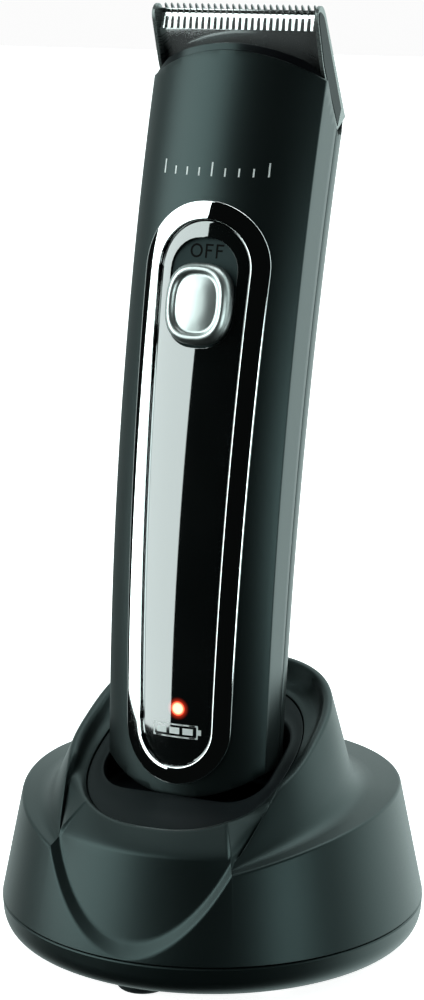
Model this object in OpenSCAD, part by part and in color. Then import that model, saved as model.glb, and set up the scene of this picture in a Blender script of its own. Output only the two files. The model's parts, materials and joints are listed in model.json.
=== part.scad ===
// Body groomer: a curved trimmer handle standing in the cup of a round charging stand.
// Origin on the floor under the middle of the stand, +Z up, front towards -Y, symmetric about X = 0.

/* [Stand] */
// Radius of the stand at the seam above its base plate
base_r = 46.9; // [45:0.1:49]
// How much the stand narrows for each millimetre of height
base_taper = 0.204; // [0.18:0.002:0.22]
// Height of the seam between base plate and stand shell
seam_h = 9.6; // [9:0.1:10.5]
// Height of the rubber feet below the base plate
foot_h = 2.7; // [2:0.1:3]
// Half width of the cup at its rim
cup_half_w = 27.3; // [27:0.1:29]
// Half depth of the cup at its rim, front to back
cup_half_d = 24.6; // [24:0.1:26]
// How far the middle of the cup lies in front of the stand's axis
cup_forward = 6.1; // [5.5:0.1:7]
// Height of the cup's rim above the stand's axis
rim_h = 52; // [50:0.5:54]
// Height of the cup liner's top face above the stand's axis
liner_h = 47.6; // [47:0.1:48]

/* [Handle] */
// Half width of the handle at floor height
handle_half_w = 18.2; // [17.8:0.1:18.4]
// Radius of the rounded front, across the handle
front_r = 29; // [28:0.5:31]
// Wall thickness of the two shells
wall = 1.8; // [1.5:0.1:2]
// Lowest point of the handle's front
handle_bottom = 37.5; // [37:0.1:38.5]
// Lean of the handle where it stands in the cup, in degrees
stand_lean = 5; // [4.5:0.1:5.5]

/* [Window and switch] */
// Half width of the chrome ring at its lower end
ring_half_w = 12.2; // [11.8:0.1:12.4]
// Half width of the chrome ring at its upper end
ring_half_w_top = 14.4; // [14:0.1:14.6]
// Width of the chrome ring's band
ring_band = 3.85; // [3.4:0.05:4]
// Height of the ring above the shell's surface
ring_proud = 0.45; // [0.3:0.05:0.6]
// Height of the switch button's middle when it is off
switch_z = 142.2; // [141:0.1:143]
// Width of the switch button
switch_w = 14.8; // [14:0.1:15]
// Length of the switch button
switch_len = 17.4; // [17:0.1:18]

/* [Blade head] */
// Half width of the blade head over its steel side walls
head_half_w = 19.2; // [19:0.1:19.4]
// Length of the blade head from heel to tooth tips
head_len = 27.7; // [27:0.1:28]
// Forward lean of the blade head in degrees
head_lean = 28; // [27:0.5:29]
// Thickness of the blade steel
steel_t = 0.7; // [0.5:0.05:0.8]
// Number of gaps between comb teeth
tooth_gaps = 24; // [20:1:26]
// Distance from tooth to tooth
tooth_pitch = 1.44; // [1.2:0.01:1.45]

/* [Hidden] */
$fn = 64;

// The handle is bent like a banana. Its three long curves are arcs in the YZ plane.
// Each is [y of the arc's centre, z of the arc's centre, radius].
front_arc = [484.4, 27.1, 505.2];
seam_arc = [533.2, 4.2, 541.3];
back_arc = [626.2, -29.4, 627.1];
back_seam_r = 639.2;
handle_flare = 0.01;
back_roundness = 2.5;
bottom_r = 31.5;
arch_r = 35;
arch_top = 194.2;
fit = 0.1;

function arc_y(arc, z) = arc[0] - sqrt(arc[2] * arc[2] - (z - arc[1]) * (z - arc[1]));
function arc_lean(arc, z) = asin((z - arc[1]) / arc[2]);

// Places children on a lengthwise arc at height z, turned to follow it; local -Y faces outwards.
module on_arc(arc, z, inward = 0) {
    translate([0, arc_y(arc, z), z])
        rotate([-arc_lean(arc, z), 0, 0])
            translate([0, inward, 0])
                children();
}

// Turns a flat outline, drawn as (distance from the arc's centre, x), about the arc's centre.
module sweep_arc(arc, low = -4, high = 26) {
    translate([0, arc[0], arc[1]])
        rotate([0, 90, 0])
            rotate([0, 0, 270 - high])
                rotate_extrude(angle = high - low, $fn = 720)
                    children();
}

module box(x, y, z) {
    translate([x[0], y[0], z[0]])
        cube([x[1] - x[0], y[1] - y[0], z[1] - z[0]]);
}

// Draws an XZ outline and stretches it along Y.
module along_y(y0, y1) {
    translate([0, y1, 0])
        rotate([90, 0, 0])
            linear_extrude(height = y1 - y0)
                children();
}

// Draws a YZ outline and stretches it along X, to both sides alike.
module along_x(half_w) {
    translate([-half_w, 0, 0])
        rotate([90, 0, 90])
            linear_extrude(height = 2 * half_w)
                children();
}

module rounded_outline(w, h, r) {
    square([w - 2 * r, h], center = true);
    square([w, h - 2 * r], center = true);
    for (sx = [-1, 1], sy = [-1, 1])
        translate([sx * (w / 2 - r), sy * (h / 2 - r)])
            circle(r);
}

// ---- Handle body: the solid space inside a skin of thickness t ----

module front_outline(t) {
    translate([front_arc[2] - front_r, 0])
        circle(front_r - t, $fn = 128);
    translate([front_arc[2] - front_r - 60, t - front_r])
        square([60, 2 * (front_r - t)]);
}

module back_outline(t) {
    depth = back_seam_r - back_arc[2] - t;
    half = 20 - t;
    steps = 8;
    bow = [for (i = [-steps : steps]) let (a = 90 * i / steps)
        [back_seam_r - depth * pow(cos(a), 2 / back_roundness),
         half * sign(a) * pow(abs(sin(a)), 2 / back_roundness)]];
    polygon(concat([[back_seam_r + 60, -half]], bow, [[back_seam_r + 60, half]]));
}

module side_wedge(t) {
    low = 20;
    high = 215;
    along_y(-60, 90)
        polygon([
            [-handle_half_w - handle_flare * low + t, low],
            [handle_half_w + handle_flare * low - t, low],
            [handle_half_w + handle_flare * high - t, high],
            [-handle_half_w - handle_flare * high + t, high]
        ]);
}

module at_bottom() {
    translate([0, arc_y(front_arc, handle_bottom), handle_bottom])
        rotate([-stand_lean, 0, 0])
            children();
}

module bottom_bow(t) {
    at_bottom()
        along_y(-30, 60) {
            translate([0, bottom_r])
                circle(bottom_r - t, $fn = 128);
            translate([t - bottom_r, bottom_r])
                square([2 * (bottom_r - t), 180]);
        }
}

module handle_space(t) {
    intersection() {
        sweep_arc(front_arc)
            front_outline(t);
        sweep_arc(back_arc)
            back_outline(t);
        side_wedge(t);
        bottom_bow(t);
    }
}

module behind_seam(gap = 0) {
    translate([-40, seam_arc[0], seam_arc[1]])
        rotate([0, 90, 0])
            cylinder(h = 80, r = seam_arc[2] - gap, $fn = 720);
}

// ---- Blade head frame: origin at the heel, +Z up the blade, -Y out of its front ----

heel_y = 27.4;
heel_z = 179.3;
pivot = [-3, 2.2];

module at_head() {
    translate([0, heel_y, heel_z])
        rotate([head_lean, 0, 0])
            children();
}

// The notch that the blade head sits in, and the room its heel swings through.
module head_notch(gap) {
    at_head() {
        box([-40, 40], [gap - 7.4, 40], [-gap, 60]);
        heel_sweep();
    }
}

module heel_sweep() {
    translate([0, pivot[0], pivot[1]])
        rotate([0, 90, 0])
            cylinder(h = 60, r = 4.1, center = true);
}

// Everything behind the slope that continues the back of the blade.
module behind_slope(depth) {
    at_head()
        box([-40, 40], [depth, 40], [-20, 60]);
}

// The hollow inside the shells.
module handle_hollow(t) {
    difference() {
        handle_space(t);
        behind_slope(1 - t);
    }
}

module below_arch(r) {
    along_y(-40, 90) {
        translate([0, arch_top - arch_r])
            circle(r, $fn = 128);
        translate([-r, 0])
            square([2 * r, arch_top - arch_r]);
    }
}

// ---- Handle shells ----

side_tuck = 0.012;

// Outline of the window opening in XZ; inset is measured inwards from the ring's outer edge.
module window_outline(inset) {
    low_z = 40.2 + ring_half_w;
    high_z = 163.5 - ring_half_w_top;
    low_r = ring_half_w - inset;
    high_r = ring_half_w_top - inset;
    translate([0, low_z])
        circle(low_r);
    translate([0, high_z])
        circle(high_r);
    tilt = asin((ring_half_w_top - ring_half_w) / (high_z - low_z));
    // The straight sides start a hair inside the circles, so that they cross them cleanly.
    low_s = low_r - side_tuck;
    high_s = high_r - side_tuck;
    polygon([
        [-low_s * cos(tilt), low_z - low_s * sin(tilt)],
        [low_s * cos(tilt), low_z - low_s * sin(tilt)],
        [high_s * cos(tilt), high_z - high_s * sin(tilt)],
        [-high_s * cos(tilt), high_z - high_s * sin(tilt)]
    ]);
}

// A layer that follows the rounded front, from depth d0 to depth d1 under its surface.
module front_layer(d0, d1) {
    sweep_arc(front_arc)
        difference() {
            translate([front_arc[2] - front_r, 0])
                circle(front_r - d0, $fn = 128);
            translate([front_arc[2] - front_r, 0])
                circle(front_r - d1, $fn = 128);
            translate([front_arc[2] - 2 * front_r - 5, -front_r - 5])
                square([front_r + 5, 2 * front_r + 10]);
        }
}

ring_seat = 0.9;
screw_spots = [54, 134];
pad_x = 6;
pad_back = 19;

module front_shell() {
    color([0.13, 0.14, 0.13])
        difference() {
            handle_space(0);
            handle_hollow(wall);
            behind_seam(-0.05);
            head_notch(0.3);
            difference() {
                box([-40, 40], [-40, 90], [150, 230]);
                below_arch(arch_r);
            }
            along_y(-60, 20)
                window_outline(ring_seat);
        }
}

module back_shell() {
    color([0.12, 0.13, 0.12])
        difference() {
            intersection() {
                handle_space(0);
                behind_seam(0.05);
            }
            handle_hollow(wall);
            head_notch(0.3);
            behind_slope(1);
            at_bottom()
                for (x = [-pad_x, pad_x])
                    translate([x, pad_back, -1])
                        cylinder(h = 6, r = 1.8);
            for (z = screw_spots)
                on_arc(back_arc, z)
                    rotate([-90, 0, 0]) {
                        translate([0, 0, -4])
                            cylinder(h = 6, r = 1.5);
                        translate([0, 0, -1.1])
                            cylinder(h = 3, r = 2.5);
                    }
        }
}

module chrome_ring() {
    color([0.75, 0.76, 0.76])
        difference() {
            union() {
                intersection() {
                    front_layer(-ring_proud, -0.01);
                    along_y(-60, 20)
                        window_outline(0);
                }
                intersection() {
                    front_layer(-0.2, wall);
                    along_y(-60, 20)
                        window_outline(ring_seat + 0.03);
                }
            }
            along_y(-60, 20)
                window_outline(ring_band);
        }
}

bed_outline = [15.4, 23.4, 6.8];
bed_z = 144.6;
bed_depth = 2;
bed_flange = 3.42;
slot_w = 4.6;
slot_len = 12.4;

module window_lens() {
    color([0.05, 0.06, 0.06])
        difference() {
            intersection() {
                front_layer(0.45, wall);
                along_y(-60, 20)
                    window_outline(ring_band + 0.03);
            }
            on_arc(front_arc, bed_z)
                along_y(-5, 5)
                    rounded_outline(bed_outline[0], bed_outline[1], bed_outline[2]);
        }
}

module switch_bed() {
    color([0.2, 0.2, 0.21])
        on_arc(front_arc, bed_z)
            difference() {
                union() {
                    along_y(bed_depth, bed_flange)
                        rounded_outline(bed_outline[0] - 0.1, bed_outline[1] - 0.1, bed_outline[2]);
                    difference() {
                        along_y(bed_flange - 0.1, bed_flange + 0.6)
                            rounded_outline(bed_outline[0] + 1.4, bed_outline[1] + 1.4, bed_outline[2]);
                        along_y(bed_flange - 1, bed_flange + 1)
                            rounded_outline(bed_outline[0] - 2.4, bed_outline[1] - 2.4, bed_outline[2] - 1.8);
                    }
                }
                along_y(bed_depth - 1, bed_depth + 2)
                    rounded_outline(slot_w, slot_len, 1);
            }
}

// ---- Power switch ----

module at_switch() {
    on_arc(front_arc, bed_z)
        translate([0, 0, switch_z - bed_z])
            children();
}

module power_switch() {
    color([0.78, 0.78, 0.76])
        at_switch()
            difference() {
                along_y(-1.6, bed_depth - 0.15)
                    rounded_outline(switch_w, switch_len, 6.2);
                translate([0, -17.4, 0])
                    intersection() {
                        sphere(r = 16.6, $fn = 96);
                        box([-5.4, 5.4], [0, 20], [-6.5, 6.5]);
                    }
            }
}

module switch_carriage() {
    color([0.3, 0.3, 0.3])
        at_switch() {
            box([-1.9, 1.9], [bed_depth - 0.15, bed_depth + 1.6], [-3, 3]);
            box([-4, 4], [bed_depth + 1.5, bed_depth + 2.6], [-4, 4]);
        }
}

// ---- Top of the handle ----

module head_insert() {
    color([0.04, 0.04, 0.04])
        difference() {
            union() {
                intersection() {
                    handle_space(0.5);
                    below_arch(arch_r + 1.4);
                    difference() {
                        box([-40, 40], [-40, 60], [180, 230]);
                        below_arch(arch_r + 0.05);
                    }
                }
                intersection() {
                    handle_space(wall + fit);
                    below_arch(arch_r + 0.2);
                    box([-40, 40], [-40, 60], [183, 230]);
                }
            }
            head_notch(0.2);
            at_head()
                box([-8, 8], [-40, 0], [-20, 16]);
        }
}

motor_r = 10;
motor_len = 25;
motor_z = 147;
motor_lean = 15;
ear_x = [-11, 11];

module at_motor() {
    translate([0, arc_y(seam_arc, motor_z), motor_z])
        rotate([-motor_lean, 0, 0])
            children();
}

module hinge_ear(x) {
    translate([x, pivot[0], pivot[1]])
        rotate([0, 90, 0])
            cylinder(h = 3, r = 2, center = true);
    box([x - 1.5, x + 1.5], [pivot[0] - 2, pivot[0] + 2], [-6, pivot[1]]);
}

module motor_mount() {
    color([0.18, 0.18, 0.19])
        difference() {
            union() {
                difference() {
                    intersection() {
                        handle_hollow(wall + fit);
                        box([-40, 40], [-40, 60], [165, 182.8]);
                    }
                    head_notch(0.3);
                }
                at_head()
                    for (x = ear_x)
                        hinge_ear(x);
            }
            at_head()
                translate([0, pivot[0], pivot[1]])
                    rotate([0, 90, 0])
                        cylinder(h = 60, r = 1.05, center = true);
            at_motor() {
                translate([0, 0, -1])
                    cylinder(h = motor_len + 1.02, r = motor_r + 0.05);
                cylinder(h = 60, r = 5.5);
            }
        }
}

module motor() {
    color([0.6, 0.6, 0.6])
        at_motor()
            difference() {
                union() {
                    cylinder(h = motor_len, r = motor_r);
                    translate([0, 0, motor_len - 0.05])
                        cylinder(h = 1.5, r = 3);
                    translate([0, 0, -1.5])
                        cylinder(h = 1.6, r = 4);
                }
                translate([0, 0, motor_len - 6])
                    cylinder(h = 20, r = 1.05);
            }
}

module motor_shaft() {
    color([0.7, 0.7, 0.7])
        at_motor()
            translate([0, 0, motor_len - 5.8])
                cylinder(h = 10.8, r = 1);
}

cam_offset = 0.9;
cam_base = motor_len + 2;

module eccentric_cam() {
    color([0.85, 0.85, 0.82])
        at_motor()
            difference() {
                union() {
                    translate([0, 0, cam_base])
                        cylinder(h = 4, r = 2.8);
                    translate([0, cam_offset, cam_base + 3.9])
                        cylinder(h = 6.2, r = 0.8);
                }
                translate([0, 0, cam_base - 1])
                    cylinder(h = 4, r = 1);
            }
}

// ---- Inside the handle ----

board_z = 98;

module at_board() {
    on_arc(front_arc, board_z, 7.8)
        children();
}

module circuit_board() {
    color([0.1, 0.35, 0.2])
        at_board()
            box([-13, 13], [0, 1.2], [-48, 38]);
}

led_z = 56.8;

module indicator_led() {
    color([1, 0.35, 0.1])
        at_board()
            translate([0.6, 0, led_z - board_z])
                box([-1.3, 1.3], [-1.2, 0], [-0.8, 0.8]);
}

module light_pipe() {
    color([0.85, 0.85, 0.8])
        at_board()
            translate([0.6, 0, led_z - board_z])
                difference() {
                    box([-2.6, 2.6], [-3.8, 0], [-1.9, 1.9]);
                    box([-1.35, 1.35], [-4, 1], [-0.85, 0.85]);
                }
}

cell_r = 7;
cell_len = 50;
cell_z = 62;

module at_cell() {
    translate([0, arc_y(back_arc, cell_z + cell_len / 2) - wall - cell_r - 1.4, cell_z + cell_len / 2])
        rotate([-arc_lean(back_arc, cell_z + cell_len / 2), 0, 0])
            children();
}

module battery_cell() {
    color([0.2, 0.45, 0.7])
        at_cell() {
            cylinder(h = cell_len, r = cell_r, center = true);
            translate([0, 0, cell_len / 2 - 0.1])
                cylinder(h = 1.1, r = 2.8);
        }
}

module battery_terminals() {
    color([0.8, 0.78, 0.6])
        at_cell() {
            box([-4, 4], [-5, 4], [cell_len / 2 + 1.05, cell_len / 2 + 1.45]);
            box([-4, 4], [-5, 4], [-cell_len / 2 - 0.45, -cell_len / 2 - 0.05]);
        }
}

module battery_cradle() {
    color([0.16, 0.16, 0.17])
        at_cell()
            difference() {
                union() {
                    box([-9.5, 9.5], [-1, 7.2], [-cell_len / 2 - 2.4, cell_len / 2 + 3.4]);
                }
                cylinder(h = cell_len + 3.1, r = cell_r + 0.08, center = true);
                translate([0, -10, 0])
                    cube([14, 20, cell_len], center = true);
                translate([0, 0, 0.5])
                    cube([8.2, 30, cell_len + 2.2], center = true);
            }
}

module charge_contacts() {
    color([0.85, 0.7, 0.3])
        at_bottom()
            for (x = [-pad_x, pad_x])
                translate([x, pad_back, 0.5]) {
                    cylinder(h = 3, r = 1.75);
                    translate([0, 0, 2.8])
                        cylinder(h = 1, r = 2.05);
                }
}

module shell_screws() {
    color([0.6, 0.6, 0.6])
        for (z = screw_spots)
            on_arc(back_arc, z)
                rotate([-90, 0, 0]) {
                    translate([0, 0, -1])
                        cylinder(h = 0.9, r = 2.4);
                    translate([0, 0, -6])
                        cylinder(h = 5.5, r = 1.4);
                }
}

// ---- Blade head ----

// Side view of the steel side walls, heel at the origin.
module cheek_outline() {
    polygon([
        [0, 0], [0, 26.1], [-0.6, 27.4], [-1.4, 28.1], [-2.4, 28.3], [-3.5, 28.1],
        [-4.4, 27.4], [-6.5, 15.5], [-5.4, 0]
    ]);
}

// Side view of the folded comb sheet: back plate, tooth crown, tooth strip and front plate.
module comb_outline() {
    t = steel_t;
    polygon([
        [0, 0], [0, 26], [-0.2, 27.1], [-0.8, head_len], [-1.5, 27.4], [-2.2, 25.5], [-3.6, 23.3],
        [-4.4, 12.6], [-4.4 + t, 12.6], [-3.6 + t, 23.1], [-2.2 + t, 25.5 - 0.4 * t],
        [-1.35, 26.6], [-0.9, 26.8], [-t, 26], [-t, 0]
    ]);
}

module comb_blade() {
    gap_w = tooth_pitch * 0.5;
    color([0.72, 0.73, 0.74])
        at_head()
            difference() {
                union() {
                    along_x(head_half_w - 0.5)
                        comb_outline();
                    for (s = [-1, 1])
                        translate([s * (head_half_w - 0.4), 0, 0])
                            along_x(0.4)
                                cheek_outline();
                }
                for (i = [0 : tooth_gaps - 1])
                    translate([(i - (tooth_gaps - 1) / 2) * tooth_pitch, 0, 0])
                        box([-gap_w / 2, gap_w / 2], [-6, 1], [24.2, 40]);
                for (x = ear_x)
                    box([x - 2.2, x + 2.2], [-4, 1], [-1, 3.2]);
            }
}

module head_carrier() {
    inner = head_half_w - 0.95;
    color([0.1, 0.1, 0.1])
        at_head()
            difference() {
                union() {
                    along_x(inner)
                        polygon([[-0.85, 0.4], [-0.85, 6], [-5.3, 6], [-5.3, 2]]);
                    for (s = [-1, 1])
                        translate([s * (inner - 0.6), 0, 0])
                            along_x(0.6)
                                polygon([[-0.85, 5.5], [-0.85, 20], [-2.8, 20], [-3.4, 12], [-5.3, 5.5]]);
                    along_x(inner)
                        polygon([[-2.2, 17], [-2.2, 20], [-2.8, 20], [-3, 17]]);
                }
                for (x = ear_x)
                    translate([x, pivot[0], pivot[1]])
                        rotate([0, 90, 0])
                            cylinder(h = 3.6, r = 4.6, center = true);
                box([-5.4, 5.4], [-8, 0], [-2, 8]);
            }
    color([0.1, 0.1, 0.1])
        at_head()
            for (x = ear_x)
                translate([x, pivot[0], pivot[1]])
                    rotate([0, 90, 0])
                        cylinder(h = 4.6, r = 1, center = true);
}

module cutter_spring() {
    color([0.7, 0.7, 0.7])
        at_head()
            difference() {
                box([-14, 14], [-2.8, -2.4], [12.8, 17]);
                box([-11, 11], [-6, 0], [14, 15.8]);
            }
}

module carrier_screws() {
    color([0.6, 0.6, 0.6])
        at_head()
            for (x = [-15.2, 15.2])
                translate([x, -5.4, 4])
                    rotate([90, 0, 0])
                        cylinder(h = 0.8, r = 1.3);
}

module cutter_blade() {
    gap_w = tooth_pitch * 0.5;
    reach = (tooth_gaps - 2) * tooth_pitch / 2;
    color([0.8, 0.8, 0.8])
        at_head()
            difference() {
                along_x(reach)
                    polygon([[-1, 7], [-1, 26], [-1.28, 26], [-1.36, 25.2], [-1.75, 24.5], [-2, 24], [-2, 7]]);
                for (i = [0 : tooth_gaps - 2])
                    translate([(i - (tooth_gaps - 2) / 2) * tooth_pitch, 0, 0])
                        box([-gap_w / 2, gap_w / 2], [-6, 1], [23.2, 40]);
            }
}

module cutter_yoke() {
    color([0.9, 0.9, 0.88])
        at_head()
            difference() {
                box([-4.4, 4.4], [-5.4, -2], [4.4, 12]);
                box([-2.8, 2.8], [-8, -2.9], [3, 11]);
            }
}

// ---- Charging stand ----

tongue_angle = 29.5;
sweep_angle = 46;
cone_edge_front = 10;
notch_z = 28.5;
step_in = 2;
liner_t = 3;
liner_step = 1.2;
ledge_top = 35.3;
cup_roundness = 2.78;
rim_slope = 0.43;

function cone_r(z) = base_r - base_taper * (z - seam_h);
function mix(a, b, s) = a + (b - a) * s;
function clamp01(s) = max(0, min(1, s));

// Distance from the stand's axis to a superellipse whose middle lies cy in front of the axis.
function oval_side(r, phi, a, b, cy, n) =
    pow(abs(r * sin(phi)) / a, n) + pow(abs(cy - r * cos(phi)) / b, n) - 1;
function oval_r(phi, a, b, cy, n, lo = 0, hi = 60, k = 14) =
    let (mid = (lo + hi) / 2)
    k == 0 ? mid
    : oval_side(mid, phi, a, b, cy, n) > 0 ? oval_r(phi, a, b, cy, n, lo, mid, k - 1)
    : oval_r(phi, a, b, cy, n, mid, hi, k - 1);

function cup_r(phi) = oval_r(phi, cup_half_w, cup_half_d, cup_forward, cup_roundness);
function liner_r(phi) = oval_r(phi, 22.5, 23.4, 9, 2.4);
function liner_z(phi) = liner_h - rim_slope * liner_r(phi) * cos(phi);
function cup_z(phi) = rim_h - rim_slope * cup_r(phi) * cos(phi);

// Height of the cone's upper edge: it dips in a tongue at the front and is level round the back.
function edge_z(phi) =
    phi < tongue_angle ? mix(cone_edge_front, notch_z, pow(phi / tongue_angle, 1.9))
    : phi < 105 ? mix(ledge_top, notch_z + 0.1, pow((105 - phi) / (105 - tongue_angle), 2))
    : ledge_top - 0.8 * pow((phi - 105) / 75, 2);

// The rim: on the cup's oval, and swept down to the notch beside the tongue.
function sweep_s(phi) = clamp01((sweep_angle - phi) / (sweep_angle - tongue_angle));
function rim_r(phi) = mix(cup_r(max(phi, sweep_angle)), cone_r(notch_z) - 0.3, sweep_s(phi));
function rim_z(phi) = mix(cup_z(max(phi, sweep_angle)), notch_z + 0.5, sweep_s(phi));
function foot_r(phi) = 30 + (cone_r(notch_z) - 30.2) * pow((180 - phi) / (180 - tongue_angle), 2.6);

// One upright section of the stand, as [radius, height] from the seam over the rim to the axis side.
function outer_part(phi) =
    let (ez = edge_z(phi), er = cone_r(ez))
    phi < tongue_angle - 0.01 ?
        let (bz = ez + mix(3, 1.6, phi / tongue_angle), br = cone_r(bz) - step_in)
        [for (s = [0, 0.25, 0.5, 0.75, 1]) [mix(er, br, s), mix(ez, bz, s)]]
    :
        let (fr = min(foot_r(phi), er - 0.15), fz = ez + 0.1, rr = rim_r(phi), rz = rim_z(phi))
        [[er, ez], [fr, fz], [mix(fr, rr, 0.62), mix(fz, rz, 0.3)],
         [mix(fr, rr, 0.88), mix(fz, rz, 0.65)], [rr, rz]];

function inner_part(phi) =
    let (s = clamp01((phi - tongue_angle) / (sweep_angle - tongue_angle)),
        lr = liner_r(phi), lz = liner_z(phi),
        rr = rim_r(max(phi, tongue_angle)), rz = rim_z(max(phi, tongue_angle)))
    [
        [mix(cone_r(31) - step_in, rr - 1.6, s), mix(31.4, rz + 0.1, s)],
        [mix(lr + 5, rr - 2.4, s), mix(lz - 0.2, rz - 1.4, s)],
        [mix(lr + 2.6, mix(rr - 2.4, lr, 0.6), s), mix(lz + 0.8, mix(rz, lz, 0.7), s)],
        [lr + 0.2, lz],
        [lr, lz - liner_t - 0.1],
        [lr - liner_step, lz - liner_t - 0.1]
    ];

function under_part(phi) =
    let (top = phi < tongue_angle ? 27.5 : max(25, edge_z(phi) - 4), ur = cone_r(top) - 4.6,
        lr = liner_r(phi) - liner_step, lz = liner_z(phi) - liner_t - 1.9)
    [
        [lr, lz],
        [mix(lr, ur, 0.5), min(mix(lz, top, 0.7), mix(lz, top, 0.5))],
        [ur, top],
        [cone_r(seam_h) - 4.6, seam_h]
    ];

function section(phi) = concat([[base_r, seam_h]], outer_part(phi), inner_part(phi), under_part(phi));

half_angles = concat([for (a = [0 : 4 : 28]) a], [29.5, 31.5], [for (a = [34 : 4 : 178]) a], [180]);
last_half = len(half_angles) - 1;
all_angles = concat(half_angles, [for (i = [last_half - 1 : -1 : 1]) -half_angles[i]]);

// Joins the sections into one closed ring-shaped solid.
module ring_loft(angles) {
    cols = len(angles);
    rows = len(section(0));
    points = [for (a = angles) for (p = section(abs(a))) [p[0] * sin(a), -p[0] * cos(a), p[1]]];
    faces = [for (i = [0 : cols - 1]) for (j = [0 : rows - 1])
        let (a = i * rows + j, b = i * rows + (j + 1) % rows,
            c = ((i + 1) % cols) * rows + (j + 1) % rows, d = ((i + 1) % cols) * rows + j)
        each [[a, b, c], [a, c, d]]];
    polyhedron(points = points, faces = faces);
}

socket_z = 18;
socket_face = 44.6;

module stand_shell() {
    color([0.13, 0.14, 0.13])
        difference() {
            ring_loft(all_angles);
            translate([0, 60, socket_z])
                rotate([90, 0, 0])
                    cylinder(h = 30, r = 5.6);
        }
}

foot_ring_r = 36;
screw_ring_r = 37;

module round_base(angles, radius) {
    for (a = angles)
        rotate([0, 0, a])
            translate([0, -radius, 0])
                children();
}

module stand_base_plate() {
    top = seam_h - 0.1;
    color([0.11, 0.12, 0.11])
        difference() {
            rotate_extrude($fn = 128)
                polygon([
                    [0, foot_h], [43.6, foot_h], [45.2, foot_h + 0.5], [46.2, foot_h + 1.6],
                    [46.8, foot_h + 3.4], [base_r, top], [base_r - 2.2, top], [base_r - 2.4, foot_h + 2.4],
                    [0, foot_h + 2.4]
                ]);
            round_base([0, 90, 180, 270], foot_ring_r)
                translate([0, 0, foot_h - 1])
                    cylinder(h = 2, r = 5.9);
            round_base([45, 135, 225, 315], screw_ring_r)
                translate([0, 0, foot_h - 1]) {
                    cylinder(h = 10, r = 1.6);
                    cylinder(h = 2.2, r = 3);
                }
        }
}

module rubber_feet() {
    color([0.06, 0.06, 0.06])
        round_base([0, 90, 180, 270], foot_ring_r)
            rotate_extrude()
                polygon([[0, 0], [4.9, 0], [5.6, 0.5], [5.8, 1.2], [5.8, foot_h + 0.95], [0, foot_h + 0.95]]);
}

module base_screws() {
    color([0.6, 0.6, 0.6])
        round_base([45, 135, 225, 315], screw_ring_r)
            translate([0, 0, foot_h]) {
                cylinder(h = 1.1, r = 2.8);
                cylinder(h = 6, r = 1.4);
            }
}

module ballast_weight() {
    color([0.45, 0.45, 0.47])
        translate([0, 0, foot_h + 2.45])
            difference() {
                cylinder(h = 8, r = 30);
                translate([0, 0, -1])
                    cylinder(h = 10, r = 14);
            }
}

// A slab under the slanted plane of the cup's rim, from depth d0 down to depth d1.
module rim_slab(d0, d1) {
    along_x(40)
        polygon([
            [-60, liner_h - 60 * rim_slope - d0], [60, liner_h + 60 * rim_slope - d0],
            [60, liner_h + 60 * rim_slope - d1], [-60, liner_h - 60 * rim_slope - d1]
        ]);
}

// The upright pocket that the handle's end stands in, with a margin all round.
module pocket(margin, low) {
    at_bottom()
        translate([0, 11.9, low])
            linear_extrude(height = 40)
                rounded_outline(2 * (19.1 + margin), 25.2 + 2 * margin, 8 + margin);
}

module cup_liner() {
    color([0.09, 0.1, 0.1])
        difference() {
            union() {
                intersection() {
                    linear_extrude(height = 80)
                        polygon([for (a = [-180 : 5 : 175]) let (r = liner_r(abs(a)) - 0.1)
                            [r * sin(a), -r * cos(a)]]);
                    rim_slab(0.1, liner_t);
                }
                intersection() {
                    pocket(1.5, -2.4);
                    rim_slab(0.1, 60);
                }
            }
            pocket(0, -0.7);
            at_bottom()
                for (x = [-pad_x, pad_x])
                    translate([x, pad_back, -20])
                        cylinder(h = 30, r = 1.2);
        }
}

module stand_contacts() {
    color([0.85, 0.7, 0.3])
        at_bottom()
            for (x = [-pad_x, pad_x])
                translate([x, pad_back, -5]) {
                    cylinder(h = 5, r = 1.15);
                    translate([0, 0, 4.95])
                        cylinder(h = 0.4, r = 0.8);
                    translate([0, 0, -0.5])
                        cylinder(h = 1, r = 2);
                }
}

module stand_circuit_board() {
    color([0.1, 0.35, 0.2])
        box([-13, 13], [-14, 12], [20, 21.4]);
}

module dc_socket() {
    color([0.06, 0.06, 0.06])
        translate([0, socket_face, socket_z])
            rotate([90, 0, 0])
                difference() {
                    cylinder(h = 12, r = 5.5);
                    translate([0, 0, -1])
                        cylinder(h = 10.5, r = 2.75);
                }
}

module dc_socket_pin() {
    color([0.8, 0.8, 0.75])
        translate([0, socket_face - 0.8, socket_z])
            rotate([90, 0, 0])
                cylinder(h = 8.6, r = 1);
}

stand_shell();
stand_base_plate();
rubber_feet();
base_screws();
ballast_weight();
cup_liner();
stand_contacts();
stand_circuit_board();
dc_socket();
dc_socket_pin();
front_shell();
back_shell();
chrome_ring();
window_lens();
switch_bed();
head_insert();
motor_mount();
motor();
circuit_board();
indicator_led();
light_pipe();
battery_cell();
battery_terminals();
battery_cradle();
charge_contacts();
shell_screws();
power_switch();
switch_carriage();
motor_shaft();
eccentric_cam();
comb_blade();
head_carrier();
cutter_spring();
carrier_screws();
cutter_blade();
cutter_yoke();
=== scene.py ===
# Looks of the body groomer and its charging stand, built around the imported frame.
# Lengths in the shape functions are in millimetres, in the frame's axes: +Z up, -Y out of the front.

import json
import math

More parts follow.
